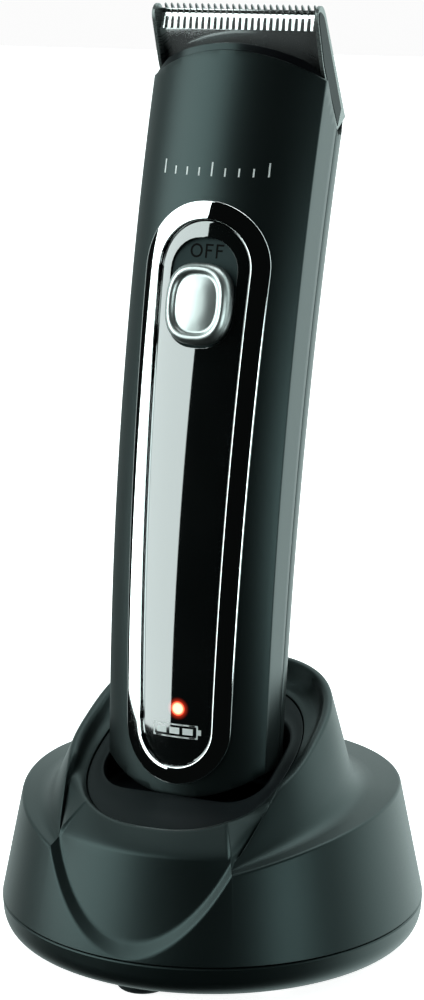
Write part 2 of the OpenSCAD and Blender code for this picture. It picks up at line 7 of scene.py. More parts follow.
import bmesh
import bpy
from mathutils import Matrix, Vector

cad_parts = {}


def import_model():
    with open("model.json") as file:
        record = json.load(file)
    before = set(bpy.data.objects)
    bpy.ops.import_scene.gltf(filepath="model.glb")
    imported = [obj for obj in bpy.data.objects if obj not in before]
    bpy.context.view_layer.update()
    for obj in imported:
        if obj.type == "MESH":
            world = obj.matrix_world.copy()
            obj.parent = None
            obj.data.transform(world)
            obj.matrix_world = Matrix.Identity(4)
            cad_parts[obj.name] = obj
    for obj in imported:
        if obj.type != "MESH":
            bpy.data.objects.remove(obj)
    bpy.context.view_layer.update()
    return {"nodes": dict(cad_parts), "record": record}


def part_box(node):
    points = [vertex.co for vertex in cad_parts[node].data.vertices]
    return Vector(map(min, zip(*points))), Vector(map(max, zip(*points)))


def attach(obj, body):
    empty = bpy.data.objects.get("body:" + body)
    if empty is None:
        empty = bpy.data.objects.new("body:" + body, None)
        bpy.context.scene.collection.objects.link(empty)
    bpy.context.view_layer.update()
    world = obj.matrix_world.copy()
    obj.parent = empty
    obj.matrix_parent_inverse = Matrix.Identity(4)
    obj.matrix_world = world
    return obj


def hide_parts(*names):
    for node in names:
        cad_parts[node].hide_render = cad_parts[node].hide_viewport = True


MM = 0.001

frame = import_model()


# ---------------------------------------------------------------- numbers

def mix(a, b, s):
    return a + (b - a) * s


def clamp01(s):
    return max(0.0, min(1.0, s))


def sign(v):
    return -1.0 if v < 0 else 1.0


# ---------------------------------------------------------------- meshes

def mesh_object(name, points, faces, sharp_deg=32, merge=0.0):
    """A closed mesh from points in millimetres, with normals outwards and crisp edges kept."""
    mesh = bpy.data.meshes.new(name)
    mesh.from_pydata([tuple(c * MM for c in p) for p in points], [], faces)
    bm = bmesh.new()
    bm.from_mesh(mesh)
    if merge:
        bmesh.ops.remove_doubles(bm, verts=bm.verts, dist=merge * MM)
        bmesh.ops.dissolve_degenerate(bm, edges=bm.edges, dist=merge * MM * 0.5)
    bmesh.ops.recalc_face_normals(bm, faces=bm.faces)
    bm.to_mesh(mesh)
    bm.free()
    obj = bpy.data.objects.new(name, mesh)
    bpy.context.collection.objects.link(obj)
    smooth(obj, sharp_deg)
    return obj


def smooth(obj, sharp_deg=32):
    obj.data.shade_smooth()
    obj.data.set_sharp_from_angle(angle=math.radians(sharp_deg))


def tube_faces(rings, count, first_cap=False, last_cap=False, around=False):
    """Quads between rings of count points each. around joins the last ring to the first."""
    faces = []
    for i in range(rings if around else rings - 1):
        a, b = i * count, ((i + 1) % rings) * count
        for j in range(count):
            k = (j + 1) % count
            faces.append((a + j, a + k, b + k, b + j))
    if first_cap:
        faces.append(tuple(range(count))[::-1])
    if last_cap:
        faces.append(tuple((rings - 1) * count + j for j in range(count)))
    return faces


def apply_modifiers(obj):
    graph = bpy.context.evaluated_depsgraph_get()
    mesh = bpy.data.meshes.new_from_object(obj.evaluated_get(graph))
    old = obj.data
    obj.modifiers.clear()
    obj.data = mesh
    bpy.data.meshes.remove(old)


def cut(obj, *tools):
    """Cuts each tool out of obj, and removes the tools."""
    for tool in tools:
        mod = obj.modifiers.new("cut", "BOOLEAN")
        mod.operation = "DIFFERENCE"
        mod.solver = "EXACT"
        mod.object = tool
        apply_modifiers(obj)
        bpy.data.objects.remove(tool)
    return obj


def soften(obj, width, segments=2, angle=40):
    """Rounds the sharp edges by width millimetres."""
    mod = obj.modifiers.new("edges", "BEVEL")
    mod.width = width * MM
    mod.segments = segments
    mod.limit_method = "ANGLE"
    mod.angle_limit = math.radians(angle)
    mod.use_clamp_overlap = True
    mod.harden_normals = False
    apply_modifiers(obj)
    return obj


def join(name, objects):
    """One object from several."""
    bm = bmesh.new()
    for o in objects:
        bm.from_mesh(o.data)
    mesh = bpy.data.meshes.new(name)
    bm.to_mesh(mesh)
    bm.free()
    for o in objects:
        bpy.data.objects.remove(o)
    obj = bpy.data.objects.new(name, mesh)
    bpy.context.collection.objects.link(obj)
    return obj


def prism(name, outline, low, high, place=None, axis="X"):
    """A straight prism. An outline of axis X is (y, z), of axis Y is (x, z), of axis Z is (x, y)."""
    if axis == "X":
        lift = lambda p, t: (t, p[0], p[1])
    elif axis == "Y":
        lift = lambda p, t: (p[0], t, p[1])
    else:
        lift = lambda p, t: (p[0], p[1], t)
    points = [lift(p, t) for t in (low, high) for p in outline]
    if place:
        points = [place(p) for p in points]
    return mesh_object(name, points, tube_faces(2, len(outline), True, True))


def block(name, x, y, z, place=None):
    return prism(name, [(y[0], z[0]), (y[1], z[0]), (y[1], z[1]), (y[0], z[1])], x[0], x[1], place)


def rounded_rect(w, h, r, steps=8):
    """Outline of a rectangle with round corners, about its middle."""
    points = []
    for quarter, (sx, sy) in enumerate([(1, 1), (-1, 1), (-1, -1), (1, -1)]):
        for i in range(steps + 1):
            a = math.radians(90 * (quarter + i / steps))
            points.append((sx * (w / 2 - r) + r * math.cos(a), sy * (h / 2 - r) + r * math.sin(a)))
    return points


def lathe(name, profile, turns=128, centre=(0, 0)):
    """Turns (radius, height) points about an upright axis. A radius of 0 closes the end."""
    points = []
    for i in range(turns):
        a = 2 * math.pi * i / turns
        points += [(centre[0] + r * math.sin(a), centre[1] - r * math.cos(a), z) for r, z in profile]
    return mesh_object(name, points, tube_faces(turns, len(profile), around=True)
                       if profile[0][0] and profile[-1][0]
                       else open_turn_faces(turns, len(profile)), merge=0.002)


def open_turn_faces(turns, count):
    faces = []
    for i in range(turns):
        a, b = i * count, ((i + 1) % turns) * count
        for j in range(count - 1):
            faces.append((a + j, a + j + 1, b + j + 1, b + j))
    return faces


def round_path(keys, steps=4):
    """Rounds a path's corners. Each key is (point, radius), and every corner gives the same number of points."""
    out = []
    last = len(keys) - 1
    for i, (p, r) in enumerate(keys):
        p = Vector(p)
        if i in (0, last) or r <= 0:
            out.append(p)
            continue
        before = Vector(keys[i - 1][0]) - p
        after = Vector(keys[i + 1][0]) - p
        reach_a = min(r, before.length * 0.48)
        reach_b = min(r, after.length * 0.48)
        a = p + before.normalized() * reach_a
        b = p + after.normalized() * reach_b
        for k in range(steps + 1):
            t = k / steps
            out.append(a * (1 - t) ** 2 + p * 2 * t * (1 - t) + b * t * t)
    return out


# ---------------------------------------------------------------- handle shape

FRONT_ARC = (484.4, 27.1, 505.2)
SEAM_ARC = (533.2, 4.2, 541.3)
BACK_ARC = (626.2, -29.4, 627.1)
FRONT_R = 29.0
BACK_ROUNDNESS = 2.5
WALL = 1.8
HALF_W = 18.2
FLARE = 0.01
BOTTOM_Z = 37.5
BOTTOM_R = 31.5
STAND_LEAN = math.radians(5)
ARCH_R = 35.0
ARCH_TOP = 194.2
SEAM_GAP = 0.22
HEEL = (27.4, 179.3)
HEAD_LEAN = math.radians(28)
PIVOT = (-3.0, 2.2)


def arc_y(arc, z):
    return arc[0] - math.sqrt(arc[2] ** 2 - (z - arc[1]) ** 2)


def arc_lean(arc, z):
    return math.asin((z - arc[1]) / arc[2])


def half_w(z):
    return HALF_W + FLARE * z


def front_y(x, z, depth=0.0):
    """The rounded front face, or a layer at that depth under it."""
    r = FRONT_ARC[2] - FRONT_R + math.sqrt(max(0.0, (FRONT_R - depth) ** 2 - x * x))
    return FRONT_ARC[0] - math.sqrt(r * r - (z - FRONT_ARC[1]) ** 2)


def seam_y(z):
    return arc_y(SEAM_ARC, z)


def back_y(x, z, depth=0.0):
    w = half_w(z) - depth
    bow = arc_y(BACK_ARC, z) - depth - seam_y(z)
    return seam_y(z) + bow * (1 - min(1.0, abs(x) / w) ** BACK_ROUNDNESS) ** (1 / BACK_ROUNDNESS)


def front_point(x, z, depth=0.0):
    return (x, front_y(x, z, depth), z)


def handle_section(z, t=0.0, edge=0.55):
    """The handle's outline at height z, inside a skin of thickness t, as a closed ring."""
    w = half_w(z) - t
    corner = front_y(w, z, t)
    seam = seam_y(z)
    right = []
    lead = 0.5 * edge
    inset = w - lead * math.cos(math.asin(w / (FRONT_R - t)))
    a = Vector((inset, front_y(inset, z, t)))
    b = Vector((w, corner + edge * 0.7))
    c = Vector((w, corner))
    for k in range(7):
        s = k / 6
        right.append(a * (1 - s) ** 2 + c * 2 * s * (1 - s) + b * s * s)
    for k in range(1, 5):
        right.append(Vector((w, mix(b[1], seam, k / 5))))
    right.append(Vector((w, seam)))
    bow_steps = 22
    for k in range(1, bow_steps):
        angle = math.pi / 2 * (1 - k / bow_steps)
        x = w * math.sin(angle) ** (2 / BACK_ROUNDNESS)
        right.append(Vector((x, back_y(x, z, t))))
    front_steps = 36
    front = []
    for k in range(1, front_steps):
        x = inset * (2 * k / front_steps - 1)
        front.append(Vector((x, front_y(x, z, t))))
    back = Vector((0, back_y(0, z, t)))
    left = [Vector((-p[0], p[1])) for p in reversed(right)]
    ring = front + right + [back] + left
    return [(p[0], p[1], z) for p in ring]


def handle_solid(name, t, low=28.0, high=206.0, edge=0.55):
    rows = 90
    points = []
    for i in range(rows + 1):
        points += handle_section(mix(low, high, i / rows), t, edge)
    count = len(points) // (rows + 1)
    return mesh_object(name, points, tube_faces(rows + 1, count, True, True))


def at_bottom(p):
    """From the frame of the handle's lower end: +Z along the lift, Y = 0 on the front."""
    x, y, z = p
    c, s = math.cos(STAND_LEAN), math.sin(STAND_LEAN)
    return (x, arc_y(FRONT_ARC, BOTTOM_Z) + y * c + z * s, BOTTOM_Z - y * s + z * c)


def at_head(p):
    """From the blade head's frame: origin at the heel, +Z up the blade, -Y out of its front."""
    x, y, z = p
    c, s = math.cos(HEAD_LEAN), math.sin(HEAD_LEAN)
    return (x, HEEL[0] + y * c - z * s, HEEL[1] + y * s + z * c)


def below_bow(name, t):
    """What lies under the handle's bowed lower end, as a tool to cut it off."""
    bow = [(x, BOTTOM_R - math.sqrt((BOTTOM_R - t) ** 2 - x * x)) for x in
           [mix(-24, 24, i / 48) for i in range(49)]]
    return prism(name, [(-24, -30)] + bow + [(24, -30)], -30, 60, at_bottom, "Y")


def above_arch(name, r):
    top = [(x, ARCH_TOP - ARCH_R + math.sqrt(r * r - x * x)) for x in [mix(-24, 24, i / 60) for i in range(61)]]
    return prism(name, [(-24, 240)] + top + [(24, 240)], -40, 90, None, "Y")


def seam_side(name, front, gap):
    """Everything in front of the seam, or behind it, as a tool."""
    shift = -gap / 2 if front else gap / 2
    line = [(seam_y(z) + shift, z) for z in [mix(20, 215, i / 120) for i in range(121)]]
    far = 120 if front else -120
    return prism(name, [(far, 20)] + line + [(far, 215)], -60, 60)


def window_outline(inset, steps=40):
    """The ring's stadium outline at a distance inside its outer edge, as (x, z), and each point's middle."""
    low_r, high_r = 12.2, 14.4
    low_z, high_z = 40.2 + low_r, 163.5 - high_r
    tilt = math.asin((high_r - low_r) / (high_z - low_z))
    outline, middles = [], []
    for k in range(steps + 1):
        a = mix(-tilt, math.pi + tilt, k / steps)
        outline.append(((high_r - inset) * math.cos(a), high_z + (high_r - inset) * math.sin(a)))
        middles.append((0, high_z))
    straight = 60
    for k in range(1, straight):
        s = k / straight
        z = mix(high_z, low_z, s)
        r = mix(high_r, low_r, s) - inset
        outline.append((-r * math.cos(tilt), z - r * math.sin(tilt)))
        middles.append((0, z))
    for k in range(steps + 1):
        a = mix(math.pi + tilt, 2 * math.pi - tilt, k / steps)
        outline.append(((low_r - inset) * math.cos(a), low_z + (low_r - inset) * math.sin(a)))
        middles.append((0, low_z))
    for k in range(1, straight):
        s = k / straight
        z = mix(low_z, high_z, s)
        r = mix(low_r, high_r, s) - inset
        outline.append((r * math.cos(tilt), z - r * math.sin(tilt)))
        middles.append((0, z))
    return outline, middles


def window_tool(name, inset):
    outline, _ = window_outline(inset)
    return prism(name, outline, -60, 20, None, "Y")


RING_SEAT = 0.9
RING_BAND = 3.85
RING_PROUD = 0.45


# ---------------------------------------------------------------- materials

def new_material(name):
    mat = bpy.data.materials.new(name)
    mat.use_nodes = True
    return mat, mat.node_tree.nodes, mat.node_tree.links


def noise(nodes, links, scale, detail=3.0, stretch=(1, 1, 1), source="Object"):
    coords = nodes.new("ShaderNodeTexCoord")
    mapping = nodes.new("ShaderNodeMapping")
    mapping.inputs["Scale"].default_value = stretch
    tex = nodes.new("ShaderNodeTexNoise")
    tex.inputs["Scale"].default_value = scale
    tex.inputs["Detail"].default_value = detail
    links.new(coords.outputs[source], mapping.inputs["Vector"])
    links.new(mapping.outputs["Vector"], tex.inputs["Vector"])
    return tex.outputs["Fac"]


def ranged(nodes, links, value, low, high, from_low=0.3, from_high=0.7):
    node = nodes.new("ShaderNodeMapRange")
    node.inputs["From Min"].default_value = from_low
    node.inputs["From Max"].default_value = from_high
    node.inputs["To Min"].default_value = low
    node.inputs["To Max"].default_value = high
    links.new(value, node.inputs["Value"])
    return node.outputs["Result"]


def coloured(nodes, links, value, low, high):
    node = nodes.new("ShaderNodeMix")
    node.data_type = "RGBA"
    node.inputs["A"].default_value = (*low, 1)
    node.inputs["B"].default_value = (*high, 1)
    links.new(value, node.inputs["Factor"])
    return node.outputs["Result"]


def bump(nodes, links, value, strength, depth):
    node = nodes.new("ShaderNodeBump")
    node.inputs["Strength"].default_value = strength
    node.inputs["Distance"].default_value = depth * MM
    links.new(value, node.inputs["Height"])
    return node.outputs["Normal"]


def surface(name, low, high, rough, grain=None, patch=60.0, stretch=(1, 1, 1), metallic=0.0,
            coat=0.0, coat_rough=0.03, specular=0.5, tint=(1, 1, 1)):
    """A finished surface: colour and roughness vary in soft patches, and grain is (scale, strength, depth mm)."""
    mat, nodes, links = new_material(name)
    shader = nodes["Principled BSDF"]
    soft = noise(nodes, links, patch, 4.0, stretch)
    links.new(coloured(nodes, links, ranged(nodes, links, soft, 0, 1), low, high), shader.inputs["Base Color"])
    shader.inputs["Metallic"].default_value = metallic
    shader.inputs["Coat Weight"].default_value = coat
    shader.inputs["Coat Roughness"].default_value = coat_rough
    shader.inputs["Specular Tint"].default_value = (*tint, 1)
    shader.inputs["Specular IOR Level"].default_value = specular
    if grain:
        fine = noise(nodes, links, grain[0], 2.0, stretch)
        links.new(ranged(nodes, links, fine, rough[0], rough[1]), shader.inputs["Roughness"])
        links.new(bump(nodes, links, fine, grain[1], grain[2]), shader.inputs["Normal"])
    else:
        links.new(ranged(nodes, links, soft, rough[0], rough[1]), shader.inputs["Roughness"])
    return mat


GRAIN = (7000.0, 0.35, 0.02)
COOL = (0.72, 1.0, 0.99)
MATT = {"specular": 0.46, "tint": COOL}
DULL = {"specular": 0.16, "tint": COOL}
MATERIALS = {
    "stand_plastic": surface("stand_plastic", (0.003, 0.004, 0.004), (0.004, 0.006, 0.006), (0.38, 0.46), GRAIN,
                             **MATT),
    "handle_plastic": surface("handle_plastic", (0.003, 0.004, 0.004), (0.004, 0.005, 0.005), (0.34, 0.42), GRAIN,
                              **MATT),
    "liner_plastic": surface("liner_plastic", (0.003, 0.003, 0.004), (0.004, 0.005, 0.006), (0.42, 0.52), GRAIN,
                             **DULL),
    "inner_plastic": surface("inner_plastic", (0.008, 0.008, 0.009), (0.012, 0.012, 0.013), (0.35, 0.5), GRAIN,
                             **MATT),
    "socket_plastic": surface("socket_plastic", (0.006, 0.006, 0.006), (0.01, 0.01, 0.01), (0.3, 0.42), GRAIN),
    "rubber": surface("rubber", (0.006, 0.006, 0.006), (0.01, 0.01, 0.01), (0.6, 0.8), (4000.0, 0.4, 0.03), **MATT),
    "screw_steel": surface("screw_steel", (0.5, 0.5, 0.5), (0.62, 0.62, 0.62), (0.25, 0.4), (3000.0, 0.1, 0.01),
                           metallic=1.0),
    "ballast_iron": surface("ballast_iron", (0.08, 0.08, 0.08), (0.14, 0.13, 0.12), (0.55, 0.75),
                            (1500.0, 0.5, 0.1), metallic=0.7),
    "gold_contact": surface("gold_contact", (0.8, 0.6, 0.25), (0.88, 0.7, 0.34), (0.15, 0.28), None, 900.0,
                            metallic=1.0),
    "board": surface("board", (0.01, 0.09, 0.03), (0.015, 0.13, 0.045), (0.3, 0.45), (900.0, 0.2, 0.03)),
    "chrome": surface("chrome", (0.86, 0.88, 0.88), (0.9, 0.91, 0.91), (0.02, 0.05), None, 40.0, metallic=1.0),
    "switch_floor": surface("switch_floor", (0.014, 0.022, 0.023), (0.018, 0.026, 0.027), (0.4, 0.5), GRAIN, **DULL),
    "gloss_black": surface("gloss_black", (0.004, 0.004, 0.005), (0.007, 0.007, 0.008), (0.2, 0.28), None, 80.0,
                           specular=0.3, tint=COOL),
    "satin_silver": surface("satin_silver", (0.5, 0.54, 0.53), (0.56, 0.6, 0.59), (0.34, 0.42),
                            (6000.0, 0.06, 0.01), metallic=1.0),
    "light_pipe": surface("light_pipe", (0.7, 0.68, 0.62), (0.8, 0.78, 0.72), (0.15, 0.25), None, 500.0),
    "battery_wrap": surface("battery_wrap", (0.03, 0.1, 0.3), (0.04, 0.13, 0.36), (0.2, 0.3), None, 200.0),
    "motor_steel": surface("motor_steel", (0.45, 0.45, 0.45), (0.55, 0.55, 0.55), (0.25, 0.4), (1200.0, 0.1, 0.01),
                           metallic=1.0, stretch=(1, 1, 6)),
    "white_acetal": surface("white_acetal", (0.72, 0.72, 0.68), (0.8, 0.8, 0.77), (0.35, 0.5), (2500.0, 0.1, 0.01)),
    "blade_steel": surface("blade_steel", (0.62, 0.63, 0.63), (0.68, 0.69, 0.69), (0.1, 0.17),
                           (2600.0, 0.03, 0.004), 120.0, metallic=0.88, stretch=(0.06, 1, 1)),
    # A darker copy of the blade steel: painted reflection of the dark surroundings on the comb's sides, and painted
    # shade between the teeth.
    "painted_shade_reflection_steel": surface("painted_shade_reflection_steel", (0.15, 0.17, 0.165), (0.19, 0.21, 0.205), (0.24, 0.34),
                           (2600.0, 0.05, 0.006), 120.0, metallic=0.6, stretch=(1, 0.06, 1)),
    "cutter_steel": surface("cutter_steel", (0.6, 0.6, 0.6), (0.7, 0.7, 0.7), (0.14, 0.26),
                            (2600.0, 0.05, 0.004), 120.0, metallic=1.0, stretch=(0.1, 1, 1)),
    "print_white": surface("print_white", (0.75, 0.77, 0.76), (0.82, 0.84, 0.83), (0.35, 0.45), None, 700.0),
    "print_dark": surface("print_dark", (0.0008, 0.001, 0.001), (0.0015, 0.002, 0.002), (0.5, 0.6), None, 700.0,
                          specular=0.05),
}

LED_Z = 56.8
LED_X = 0.6


def glowing_window():
    """Black gloss window with the charge light shining through it."""
    mat = surface("window_black", (0.003, 0.004, 0.004), (0.005, 0.006, 0.006), (0.03, 0.06), None, 50.0, coat=1.0,
                  specular=0.9)
    mat.node_tree.nodes["Principled BSDF"].inputs["Coat IOR"].default_value = 1.9
    nodes, links = mat.node_tree.nodes, mat.node_tree.links
    shader = nodes["Principled BSDF"]
    coords = nodes.new("ShaderNodeTexCoord")
    offset = nodes.new("ShaderNodeVectorMath")
    offset.operation = "DISTANCE"
    offset.inputs[1].default_value = [c * MM for c in front_point(LED_X, LED_Z, 0.45)]
    links.new(coords.outputs["Object"], offset.inputs[0])
    core = nodes.new("ShaderNodeMapRange")
    core.interpolation_type = "SMOOTHSTEP"
    core.inputs["From Min"].default_value = 1.75 * MM
    core.inputs["From Max"].default_value = 0.8 * MM
    links.new(offset.outputs["Value"], core.inputs["Value"])
    halo = nodes.new("ShaderNodeMapRange")
    halo.interpolation_type = "SMOOTHERSTEP"
    halo.inputs["From Min"].default_value = 2.7 * MM
    halo.inputs["From Max"].default_value = 1.0 * MM
    halo.inputs["To Max"].default_value = 0.6
    links.new(offset.outputs["Value"], halo.inputs["Value"])
    strength = nodes.new("ShaderNodeMath")
    strength.operation = "MULTIPLY_ADD"
    strength.inputs[1].default_value = 5.0
    links.new(core.outputs["Result"], strength.inputs[0])
    links.new(halo.outputs["Result"], strength.inputs[2])
    tint = nodes.new("ShaderNodeMix")
    tint.data_type = "RGBA"
    tint.inputs["A"].default_value = (1.0, 0.05, 0.015, 1)
    tint.inputs["B"].default_value = (1.0, 0.30, 0.16, 1)
    links.new(core.outputs["Result"], tint.inputs["Factor"])
    links.new(tint.outputs["Result"], shader.inputs["Emission Color"])
    links.new(strength.outputs["Value"], shader.inputs["Emission Strength"])
    return mat


def lit_led():
    mat = surface("led_orange", (0.9, 0.3, 0.1), (1.0, 0.35, 0.12), (0.2, 0.3), None, 900.0)
    shader = mat.node_tree.nodes["Principled BSDF"]
    shader.inputs["Emission Color"].default_value = (1.0, 0.25, 0.06, 1)
    shader.inputs["Emission Strength"].default_value = 3.0
    return mat


MATERIALS["window_black"] = glowing_window()
MATERIALS["led_orange"] = lit_led()

NODE_SLOTS = {s["node"]: s["material_slot"] for s in frame["record"]["subparts"]}
NODE_BODIES = {n: b for b, nodes in frame["record"]["behaviour"]["bodies"].items() for n in nodes}


def paint(obj, material_name):
    obj.data.materials.clear()
    obj.data.materials.append(MATERIALS[material_name])


def stands_for(obj, *nodes, sharp_deg=32):
    """Paints a piece, rides it on the first node's body and hides the nodes that it stands for."""
    smooth(obj, sharp_deg)
    paint(obj, NODE_SLOTS[nodes[0]])
    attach(obj, NODE_BODIES[nodes[0]])
    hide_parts(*nodes)
    return obj


def extra(obj, body, material_name):
    """Paints and rides a piece that stands for no node."""
    paint(obj, material_name)
    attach(obj, body)
    return obj


def paint_frame():
    for node, obj in frame["nodes"].items():
        paint(obj, NODE_SLOTS[node])


# ---------------------------------------------------------------- stand

BASE_R = 46.9
TAPER = 0.204
SEAM_H = 9.6
PLATE_BOTTOM = 2.7
TONGUE = 29.5
SWEEP_END = 52.0
EDGE_FRONT = 10.0
NOTCH_Z = 28.5
LEDGE_TOP = 35.3
STEP_IN = 2.0
RIM_H = 52.0
RIM_SLOPE = 0.43
LINER_H = 47.6
CUP = (27.3, 24.6, 6.1, 2.78)
LINER = (22.5, 23.4, 9.0, 2.4)


def cone_r(z):
    return BASE_R - TAPER * (z - SEAM_H)


def oval_r(phi, shape):
    """Distance from the stand's axis to a superellipse (half width, half depth, forward, roundness)."""
    a, b, forward, n = shape
    low, high = 0.0, 60.0
    for _ in range(26):
        r = (low + high) / 2
        out = (r * abs(math.sin(phi)) / a) ** n + (abs(forward - r * math.cos(phi)) / b) ** n
        low, high = (low, r) if out > 1 else (r, high)
    return (low + high) / 2


def edge_z(deg):
    if deg < TONGUE:
        return mix(EDGE_FRONT, NOTCH_Z, (deg / TONGUE) ** 1.9)
    if deg < 105:
        return mix(LEDGE_TOP, NOTCH_Z, ((105 - deg) / (105 - TONGUE)) ** 2)
    return LEDGE_TOP - 0.8 * ((deg - 105) / 75) ** 2


def rim_at(deg):
    """Radius and height of the cup's rim, which sweeps down beside the tongue to the notch."""
    r = oval_r(math.radians(deg), CUP)
    z = RIM_H - RIM_SLOPE * r * math.cos(math.radians(deg))
    s = sweep_share(deg)
    return mix(r, cone_r(NOTCH_Z) - STEP_IN - 0.1, s), mix(z, NOTCH_Z + 0.5, s)


def sweep_share(deg):
    """1 at the notch beside the tongue, easing to 0 where the rim has reached the cup's own oval."""
    return clamp01((SWEEP_END - deg) / (SWEEP_END - TONGUE)) ** 1.8


def foot_r(deg):
    return 30 + (cone_r(NOTCH_Z) - STEP_IN - 30) * (max(0.0, 180 - deg) / (180 - TONGUE)) ** 2.6


def stand_section(deg):
    """One upright section of the stand shell from the seam over the rim to the inside, as (r, z) keys."""
    phi = math.radians(deg)
    lr = oval_r(phi, LINER)
    lz = LINER_H - RIM_SLOPE * lr * math.cos(phi)
    ez = edge_z(deg)
    er = cone_r(ez)
    on_tongue = min(deg, TONGUE)
    bz = edge_z(max(0.0, on_tongue - 1e-6)) + mix(3.0, 1.7, on_tongue / TONGUE)
    shoulder = max(31.5, bz + 2.0)
    if deg < TONGUE:
        br = cone_r(bz) - STEP_IN
        keys = [((er, ez), 0.7), ((mix(er, br, 0.4), mix(ez, bz, 0.4)), 0.3),
                ((mix(er, br, 0.6), mix(ez, bz, 0.6)), 0), ((br, bz), 0.9)]
    else:
        rr, rz = rim_at(deg)
        fr = min(foot_r(deg), er - 0.3)
        fz = ez + 0.25
        keys = [((er, ez), 0.7), ((fr, fz), 5.0), ((mix(fr, rr, 0.55), mix(fz, rz, 0.55)), 0), ((rr, rz), 0.9)]
    rr, rz = rim_at(max(deg, TONGUE))
    s = 1 - sweep_share(max(deg, TONGUE))
    inner = [
        ((cone_r(shoulder - 1.5) - STEP_IN, shoulder - 1.5), (rr - 1.8, rz - 0.1), 0.9),
        ((cone_r(shoulder) - STEP_IN, shoulder), (max(rr - 2.7, lr + 2.4), max(rz - 3.4, lz + 1.6)), 4.5),
        ((lr + 1.5, lz + 1.5), (lr + 1.8, lz + 0.7), 1.3),
    ]
    for inwards, (tongue_side, petal_side, radius) in zip((0.4, 0.8, 1.2), inner):
        r = min(mix(tongue_side[0], petal_side[0], s), rr - inwards)
        keys.append(((r, mix(tongue_side[1], petal_side[1], s)), radius))
    keys += [((lr + 0.12, lz + 0.1), 0.2), ((lr + 0.1, lz - 3.1), 0), ((lr - 1.2, lz - 3.1), 0)]
    top = 27.5 if deg < TONGUE else max(25.0, ez - 4)
    under = (lr - 1.2, lz - 4.9)
    wall_r = cone_r(top) - 4.6
    keys += [(under, 0), ((mix(under[0], wall_r, 0.5), min(mix(under[1], top, 0.7), mix(under[1], top, 0.5))), 0),
             ((wall_r, top), 0), ((cone_r(SEAM_H) - 4.6, SEAM_H + 0.15), 0),
             ((BASE_R - 0.25, SEAM_H + 0.15), 0)]
    return [((BASE_R - 0.05, SEAM_H + 0.3), 0)] + keys


def stand_shell():
    half = [0.5 * i for i in range(int(2 * TONGUE))] + [TONGUE - 0.02, TONGUE + 0.02]
    half += [TONGUE + 0.5 * i for i in range(1, 40)]
    half += [mix(TONGUE + 19.5, 180, i / 84) for i in range(1, 85)]
    angles = half + [-a for a in reversed(half[1:-1])]
    points = []
    for deg in angles:
        section = round_path(stand_section(abs(deg)), 5)
        phi = math.radians(deg)
        points += [(r * math.sin(phi), -r * math.cos(phi), z) for r, z in section]
    count = len(points) // len(angles)
    return mesh_object("stand_body", points, tube_faces(len(angles), count, around=True), 50)


def socket_cut():
    low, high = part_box("dc_socket")
    y = high[1] / MM
    z = (low[2] + high[2]) / 2 / MM
    r = (high[2] - low[2]) / 2 / MM + 0.1
    outline = [(r * math.cos(2 * math.pi * i / 48), z + r * math.sin(2 * math.pi * i / 48)) for i in range(48)]
    return prism("socket_cut", outline, y - 14, y + 14, None, "Y")


def base_plate():
    top = SEAM_H - 0.1
    keys = [((0, PLATE_BOTTOM), 0), ((42.5, PLATE_BOTTOM), 0), ((44.9, PLATE_BOTTOM + 0.15), 1.6),
            ((46.6, PLATE_BOTTOM + 2.6), 2.2), ((BASE_R - 0.02, top - 0.35), 0), ((BASE_R - 0.3, top), 0.2),
            ((BASE_R - 2.2, top), 0), ((BASE_R - 2.4, PLATE_BOTTOM + 2.4), 0), ((0, PLATE_BOTTOM + 2.4), 0)]
    plate = lathe("base_underside", [tuple(p) for p in round_path(keys, 6)], 192)
    tools = []
    for i in range(4):
        a = math.radians(90 * i)
        tools.append(lathe("foot_cut", [(0, 1.0), (5.9, 1.0), (5.9, PLATE_BOTTOM + 1), (0, PLATE_BOTTOM + 1)], 48,
                           (36 * math.sin(a), -36 * math.cos(a))))
        a += math.radians(45)
        tools.append(lathe("screw_cut", [(0, 1.0), (3, 1.0), (3, 3.9), (0, 3.9)], 48,
                           (37 * math.sin(a), -37 * math.cos(a))))
    return cut(plate, *tools)


def feet():
    keys = [((0, 0.0), 0), ((5.2, 0.0), 0.8), ((5.8, 1.0), 0.5), ((5.8, PLATE_BOTTOM + 0.9), 0),
            ((0, PLATE_BOTTOM + 0.9), 0)]
    profile = [tuple(p) for p in round_path(keys, 5)]
    pads = []
    for i in range(4):
        a = math.radians(90 * i)
        pads.append(lathe("pad", profile, 64, (36 * math.sin(a), -36 * math.cos(a))))
    return join("feet_of_rubber", pads)


POCKET_HALF_W, POCKET_HALF_D, POCKET_R = 19.1, 12.6, 8
POCKET_Y = 11.9


def pocket_outline(margin, count):
    """The pocket's rounded outline in the lower end's frame, sampled by angle about its middle."""
    w, d, r = POCKET_HALF_W + margin, POCKET_HALF_D + margin, POCKET_R + margin
    points = []
    for i in range(count):
        a = 2 * math.pi * i / count
        dx, dy = math.sin(a), -math.cos(a)
        low, high = 0.0, 40.0
        for _ in range(24):
            m = (low + high) / 2
            qx, qy = abs(m * dx) - (w - r), abs(m * dy) - (d - r)
            out = math.hypot(max(qx, 0), max(qy, 0)) + min(max(qx, qy), 0) > r
            low, high = (low, m) if out else (m, high)
        points.append((low * dx, POCKET_Y + low * dy))
    return points


